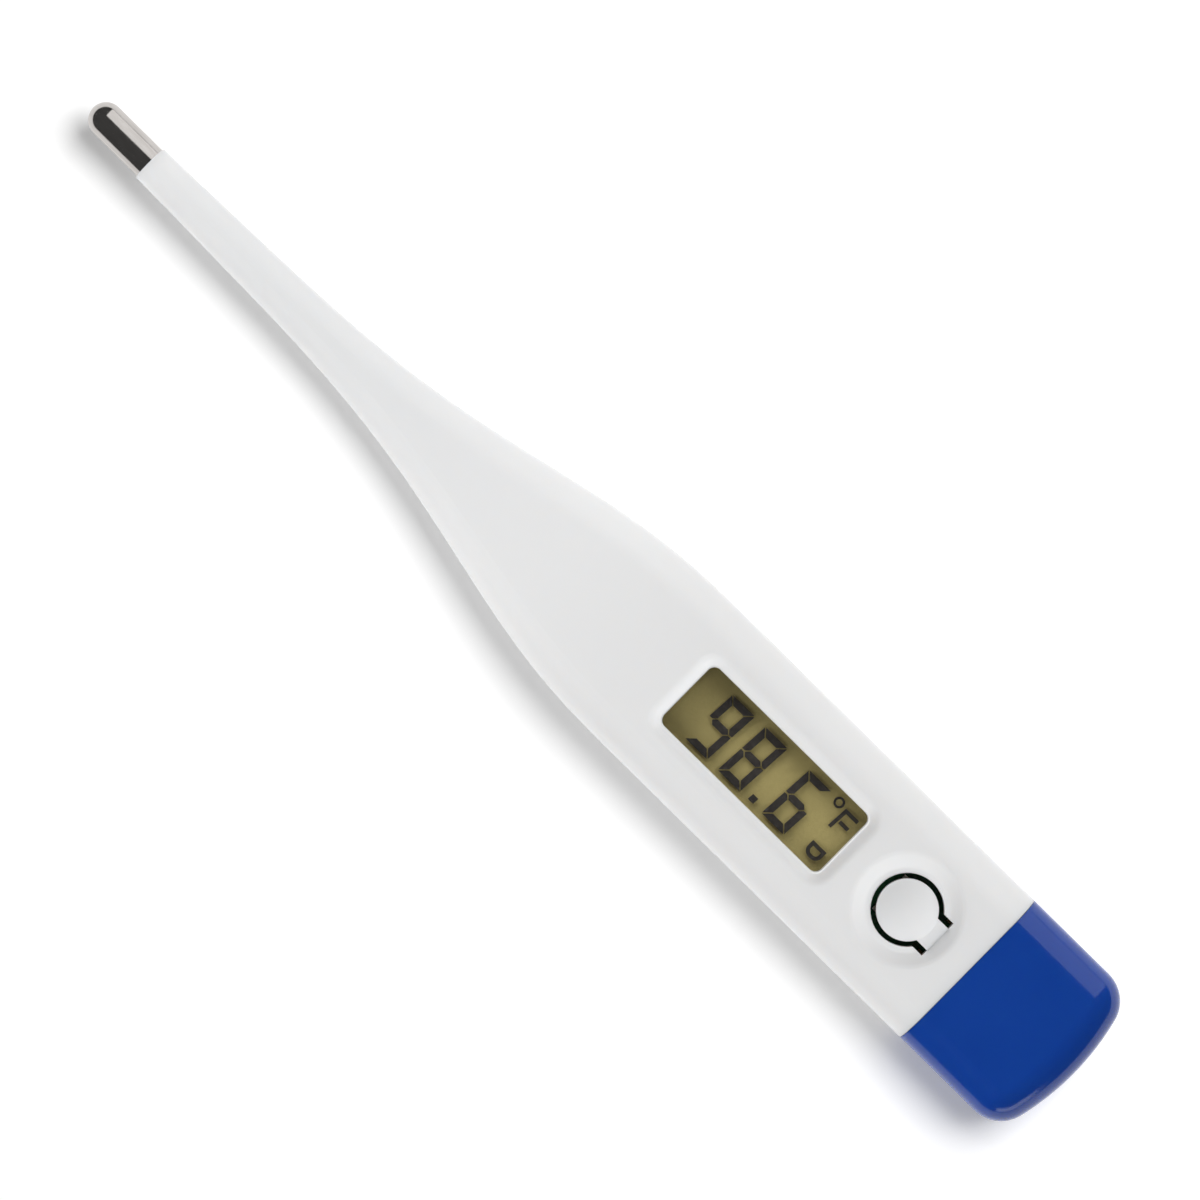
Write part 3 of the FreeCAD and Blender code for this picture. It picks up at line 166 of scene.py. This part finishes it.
def blue_plastic():
    """Glossy royal blue ABS: light goes a little way in, so thin edges glow."""
    material, tree, shader = new_material("blue_plastic")
    tint = colour_between(tree, noise(tree, 8 * MM), (0.0045, 0.049, 0.31), (0.0055, 0.053, 0.325))
    tree.links.new(tint, shader.inputs["Base Color"])
    tree.links.new(between(tree, noise(tree, 2.5 * MM), 0.10, 0.17), shader.inputs["Roughness"])
    shader.inputs["Subsurface Weight"].default_value = 0.5
    shader.inputs["Subsurface Radius"].default_value = (0.1, 0.4, 1.0)
    shader.inputs["Subsurface Scale"].default_value = 2 * MM
    add_bump(tree, shader, [(noise(tree, 6 * MM, detail=1), 0.02 * MM),
                            (noise(tree, 0.3 * MM, detail=2), 0.0006 * MM)])
    return material


def polished_steel():
    """Drawn and polished stainless steel, with fine scratches along the tip."""
    material, tree, shader = new_material("polished_steel")
    shader.inputs["Metallic"].default_value = 1.0
    streaks = noise(tree, 0.4 * MM, detail=4, stretch=(0.25, 1, 1))
    tree.links.new(colour_between(tree, streaks, (0.50, 0.475, 0.455), (0.57, 0.545, 0.525)),
                   shader.inputs["Base Color"])
    tree.links.new(between(tree, streaks, 0.09, 0.16), shader.inputs["Roughness"])
    add_bump(tree, shader, [(streaks, 0.001 * MM)])
    return material


def clear(name, tint, index, roughness=0.03):
    """A clear piece: light goes through unbent, and its outside mirrors as its index says."""
    material, tree, shader = new_material(name)
    tree.nodes.remove(shader)
    through = tree.nodes.new("ShaderNodeBsdfTransparent")
    through.inputs["Color"].default_value = (*tint, 1)
    mirror = tree.nodes.new("ShaderNodeBsdfGlossy")
    tree.links.new(between(tree, noise(tree, 2 * MM), roughness, roughness * 3), mirror.inputs["Roughness"])
    share = tree.nodes.new("ShaderNodeFresnel")
    share.inputs["IOR"].default_value = index
    face = tree.nodes.new("ShaderNodeNewGeometry")
    outside_only = tree.nodes.new("ShaderNodeMix")
    tree.links.new(face.outputs["Backfacing"], outside_only.inputs["Factor"])
    tree.links.new(share.outputs["Fac"], outside_only.inputs["A"])
    outside_only.inputs["B"].default_value = 0
    both = tree.nodes.new("ShaderNodeMixShader")
    tree.links.new(outside_only.outputs["Result"], both.inputs["Fac"])
    tree.links.new(through.outputs["BSDF"], both.inputs[1])
    tree.links.new(mirror.outputs["BSDF"], both.inputs[2])
    output = next(node for node in tree.nodes if node.type == "OUTPUT_MATERIAL")
    tree.links.new(both.outputs["Shader"], output.inputs["Surface"])
    return material


def reflector_film():
    """The brassy ground of the display, with the fine sparkle of its foil."""
    material, tree, shader = new_material("reflector_film")
    sparkle = noise(tree, 0.1 * MM, detail=3)
    tree.links.new(colour_between(tree, sparkle, (0.48, 0.40, 0.180), (0.58, 0.485, 0.23)),
                   shader.inputs["Base Color"])
    shader.inputs["Roughness"].default_value = 0.6
    shader.inputs["Specular IOR Level"].default_value = 0.1
    add_bump(tree, shader, [(sparkle, 0.004 * MM)])
    return material


def board_laminate():
    """Green solder mask over the weave of the laminate."""
    material, tree, shader = new_material("board_laminate")
    weave = noise(tree, 0.3 * MM, detail=1, stretch=(1, 0.3, 1))
    tree.links.new(colour_between(tree, weave, (0.012, 0.13, 0.045), (0.02, 0.17, 0.06)),
                   shader.inputs["Base Color"])
    tree.links.new(between(tree, noise(tree, 1.5 * MM), 0.22, 0.32), shader.inputs["Roughness"])
    add_bump(tree, shader, [(weave, 0.01 * MM)])
    return material


MATERIALS = {
    "white_plastic": white_plastic(),
    "blue_plastic": blue_plastic(),
    "polished_steel": polished_steel(),
    "reflector_film": reflector_film(),
    "board_laminate": board_laminate(),
    "clear_plastic": clear("clear_plastic", (0.99, 0.99, 0.985), 1.45),
    "display_glass": clear("display_glass", (0.995, 0.995, 0.99), 1.05),
    "polarizer_film": clear("polarizer_film", (0.97, 0.97, 0.95), 1.2, 0.1),
    "segment_ink": finish("segment_ink", (0.045, 0.04, 0.042), 0.5),
    "potting_epoxy": finish("potting_epoxy", (0.5, 0.36, 0.14), 0.2),
    "bead_glass": finish("bead_glass", (0.16, 0.06, 0.03), 0.1),
    "wire_insulation": finish("wire_insulation", (0.55, 0.08, 0.04), 0.35),
    "tray_plastic": finish("tray_plastic", (0.62, 0.62, 0.60), 0.42, variation=0.02, grain_depth=0.01 * MM),
    "zebra_rubber": finish("zebra_rubber", (0.1, 0.1, 0.11), 0.6, variation=0.6, blotch=0.1 * MM,
                           stretch=(1, 0.05, 0.05)),
    "potting_black": finish("potting_black", (0.01, 0.01, 0.011), 0.25, grain_depth=0.02 * MM),
    "resistor_ceramic": finish("resistor_ceramic", (0.03, 0.03, 0.035), 0.4),
    "capacitor_ceramic": finish("capacitor_ceramic", (0.36, 0.24, 0.13), 0.5),
    "black_plastic": finish("black_plastic", (0.02, 0.02, 0.02), 0.45, grain_depth=0.01 * MM),
    "switch_plastic": finish("switch_plastic", (0.45, 0.05, 0.03), 0.4),
    "spring_metal": finish("spring_metal", (0.62, 0.60, 0.54), 0.28, metallic=1.0, stretch=(0.2, 1, 1)),
    "plate_brass": finish("plate_brass", (0.72, 0.52, 0.2), 0.3, metallic=1.0, stretch=(0.3, 1, 1)),
    "piezo_ceramic": finish("piezo_ceramic", (0.7, 0.69, 0.64), 0.5),
    "cell_nickel": finish("cell_nickel", (0.66, 0.65, 0.62), 0.24, metallic=1.0, stretch=(1, 0.15, 1)),
    "seal_nylon": finish("seal_nylon", (0.6, 0.58, 0.5), 0.5),
    "solder_tin": finish("solder_tin", (0.68, 0.69, 0.70), 0.25, metallic=1.0, grain_depth=0.01 * MM),
}

for part in frame["record"]["subparts"]:
    mesh = NODES[part["node"]].data
    mesh.materials.clear()
    mesh.materials.append(MATERIALS[part["material_slot"]])


# ------------------------------------------------------------ copies of CAD pieces

def copy_of(node, name):
    """A piece with the same shape and material as a CAD node, standing in its place."""
    piece = bpy.data.objects.new(name, NODES[node].data.copy())
    bpy.context.scene.collection.objects.link(piece)
    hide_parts(node)
    return piece


def make_button():
    """The button, copied from its CAD node with its placement baked into the mesh."""
    button = copy_of("power_button", "button_flex")
    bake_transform(button)


def make_leads():
    """The thermistor's wires, copied from their CAD node with their placement baked into the mesh."""
    leads = copy_of("thermistor_leads", "leads_flex")
    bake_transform(leads)


def make_dome():
    """The switch's snap dome, copied from its CAD node, carried with the carriage and given a mesh of its
    own.
    """
    dome = copy_of("switch_dome", "dome_flex")
    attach(dome, "carriage")
    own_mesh(dome)


make_button()
make_leads()
make_dome()


# ------------------------------------------------------------------- detail on the carrier

def new_piece(name, slot, mesh):
    """A piece on the carrier, made from a bmesh."""
    data = bpy.data.meshes.new(name)
    mesh.to_mesh(data)
    mesh.free()
    data.materials.append(MATERIALS[slot])
    piece = bpy.data.objects.new(name, data)
    bpy.context.scene.collection.objects.link(piece)
    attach(piece, "carriage")


def add_slab(mesh, corners, low, thickness):
    """A thin slab with these (x, y) corners, counter-clockwise, from a height upwards."""
    rings = [[mesh.verts.new((x, y, z)) for x, y in corners] for z in (low, low + thickness)]
    mesh.faces.new(rings[0][::-1])
    mesh.faces.new(rings[1])
    for index in range(len(corners)):
        after = (index + 1) % len(corners)
        mesh.faces.new((rings[0][index], rings[0][after], rings[1][after], rings[1][index]))


def add_track(mesh, start, end, width, low, thickness):
    """A straight copper track between two (x, y) points."""
    along = (Vector(end) - Vector(start)).normalized()
    side = Vector((-along.y, along.x)) * width / 2
    ends = (Vector(start) - side, Vector(end) - side, Vector(end) + side, Vector(start) + side)
    add_slab(mesh, [tuple(corner) for corner in ends], low, thickness)


TRACKS_A_SIDE = 4  # on each side of the middle one
TRACK_PITCH = 1.15 * MM
TRACK_WIDTH = 0.3 * MM
TRACK_RISE = 0.03 * MM
TRACK_MARGIN = 0.5 * MM  # from the board's edge, and between one turn and the next
TRACK_SQUEEZE = 0.55  # of the pitch is left past the turn, where the tracks run closer together
FIRST_TURN = 3 * MM  # from the board's edge to the middle track's turn
DISPLAY_GAP = 0.6 * MM


def make_tracks():
    """Copper tracks under the solder mask, from the board's far edge to the display's edge."""
    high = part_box("circuit_board")[1]
    display_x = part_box("lcd_front_glass")[1].x + DISPLAY_GAP
    mesh = bmesh.new()
    for place in range(-TRACKS_A_SIDE, TRACKS_A_SIDE + 1):
        y = place * TRACK_PITCH
        inner_y = y * TRACK_SQUEEZE
        turn_x = high.x - FIRST_TURN - abs(place) * TRACK_MARGIN
        inner_x = turn_x - abs(y - inner_y) - TRACK_MARGIN
        route = [(high.x - TRACK_MARGIN, y), (turn_x, y), (inner_x, inner_y), (display_x, inner_y)]
        for start, end in zip(route, route[1:]):
            add_track(mesh, start, end, TRACK_WIDTH, high.z, TRACK_RISE)
    new_piece("board_tracks", "board_laminate", mesh)


PLUS_REACH = 0.9 * MM
PLUS_HALF_WIDTH = 0.13 * MM
PLUS_RISE = 0.025 * MM


def make_plus_mark():
    """The plus sign that stands on the top of the cell."""
    low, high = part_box("battery_can")
    centre = (low + high) / 2
    reach, half = PLUS_REACH, PLUS_HALF_WIDTH
    across = [(-reach, -half), (reach, -half), (reach, half), (-reach, half)]
    mesh = bmesh.new()
    for corners in (across, [(-y, x) for x, y in across]):
        add_slab(mesh, [(centre.x + x, centre.y + y) for x, y in corners], high.z, PLUS_RISE)
    new_piece("cell_plus", "cell_nickel", mesh)


make_tracks()
make_plus_mark()


# --------------------------------------------------------------------- floor and light

TABLE_SIZE = 4
TABLE_GLOW = 0.32  # the table's own light, which keeps the shadow on it pale
AMBIENT = 0.07


def make_floor():
    """A white table top, so bright that it is plain white away from the shadow."""
    bpy.ops.mesh.primitive_plane_add(size=TABLE_SIZE)
    floor = bpy.context.object
    floor.name = "floor"
    material, tree, shader = new_material("table_white")
    shader.inputs["Base Color"].default_value = (0.9, 0.9, 0.9, 1)
    shader.inputs["Roughness"].default_value = 0.9
    shader.inputs["Specular IOR Level"].default_value = 0.0
    shader.inputs["Emission Color"].default_value = (1, 1, 1, 1)
    shader.inputs["Emission Strength"].default_value = TABLE_GLOW
    floor.data.materials.append(material)
    return floor


# name: azimuth and elevation it shines from, width and height as seen from the object, all in
# degrees, how bright it looks beside a white card, and what it lights
SOFTBOXES = {
    "key": (152, 40, 36, 40, 3.7, "thermometer"),
    "low_left": (225, 22, 42, 43, 3.0, "thermometer"),
    "high_back": (90, 70, 16, 16, 2.0, "thermometer"),
    "back": (90, 35, 38, 64, 1.1, "thermometer"),
    "high_right": (45, 58, 24, 30, 1.6, "thermometer"),
    "high_front": (275, 66, 26, 22, 3.4, "thermometer"),
    "low_right": (330, 10, 44, 16, 1.8, "thermometer"),
    "table_wash": (74, 65, 32, 28, 10.5, "table"),
}
# lights that give shade and brightness, but that no surface mirrors
UNREFLECTED = {"key", "low_left", "high_back", "high_right", "high_front"}
LIGHT_DISTANCE = 0.9


def table_linking(floor, state):
    """A light-linking collection that takes in the table alone, or leaves it alone out."""
    linking = bpy.data.collections.new("table_" + state.lower())
    linking.objects.link(floor)
    linking.collection_objects[0].light_linking.link_state = state
    return linking


def softbox(name, azimuth, elevation, width, height, brightness, receiver):
    """A rectangular soft light that faces the object, and lights what its receiver collection says."""
    light = bpy.data.lights.new(name, "AREA")
    light.shape = "RECTANGLE"
    light.size = 2 * LIGHT_DISTANCE * math.tan(math.radians(width / 2))
    light.size_y = 2 * LIGHT_DISTANCE * math.tan(math.radians(height / 2))
    light.energy = math.pi * light.size * light.size_y * brightness
    lamp = bpy.data.objects.new(name, light)
    bpy.context.scene.collection.objects.link(lamp)
    turn, rise = math.radians(azimuth), math.radians(elevation)
    towards = Vector((math.cos(rise) * math.cos(turn), math.cos(rise) * math.sin(turn), math.sin(rise)))
    lamp.location = towards * LIGHT_DISTANCE
    lamp.rotation_euler = towards.to_track_quat("Z", "Y").to_euler()
    lamp.light_linking.receiver_collection = receiver
    lamp.visible_glossy = name not in UNREFLECTED


def make_light(floor):
    """The soft boxes, each with what it lights, and a faint even light from all round."""
    receivers = {
        "thermometer": table_linking(floor, "EXCLUDE"),
        "table": table_linking(floor, "INCLUDE"),
    }
    for name, (*place, lit) in SOFTBOXES.items():
        softbox(name, *place, receivers[lit])
    world = bpy.data.worlds.new("studio")
    bpy.context.scene.world = world
    world.use_nodes = True
    background = world.node_tree.nodes["Background"]
    background.inputs["Color"].default_value = (1, 1, 1, 1)
    background.inputs["Strength"].default_value = AMBIENT


CAMERA_PLACE = (1.8 * MM, 0.45 * MM, 0.65)
CAMERA_TURN = 44.583  # degrees about the vertical
CAMERA_LENS = 209.5
CAMERA_SENSOR = 36.0


def make_camera():
    """Straight down from above, turned so that the thermometer lies across the picture."""
    camera = bpy.data.cameras.new("camera")
    camera.sensor_width = CAMERA_SENSOR
    camera.lens = CAMERA_LENS
    holder = bpy.data.objects.new("camera", camera)
    bpy.context.scene.collection.objects.link(holder)
    holder.location = CAMERA_PLACE
    holder.rotation_euler = (0, 0, math.radians(CAMERA_TURN))
    camera.clip_start = 0.01
    bpy.context.scene.camera = holder


# more than the faces of lens, polariser and glasses that light passes to and from the display's ground
CLEAR_LAYERS = 24

make_light(make_floor())
make_camera()
bpy.context.scene.view_settings.view_transform = "Standard"
bpy.context.scene.cycles.transparent_max_bounces = CLEAR_LAYERS
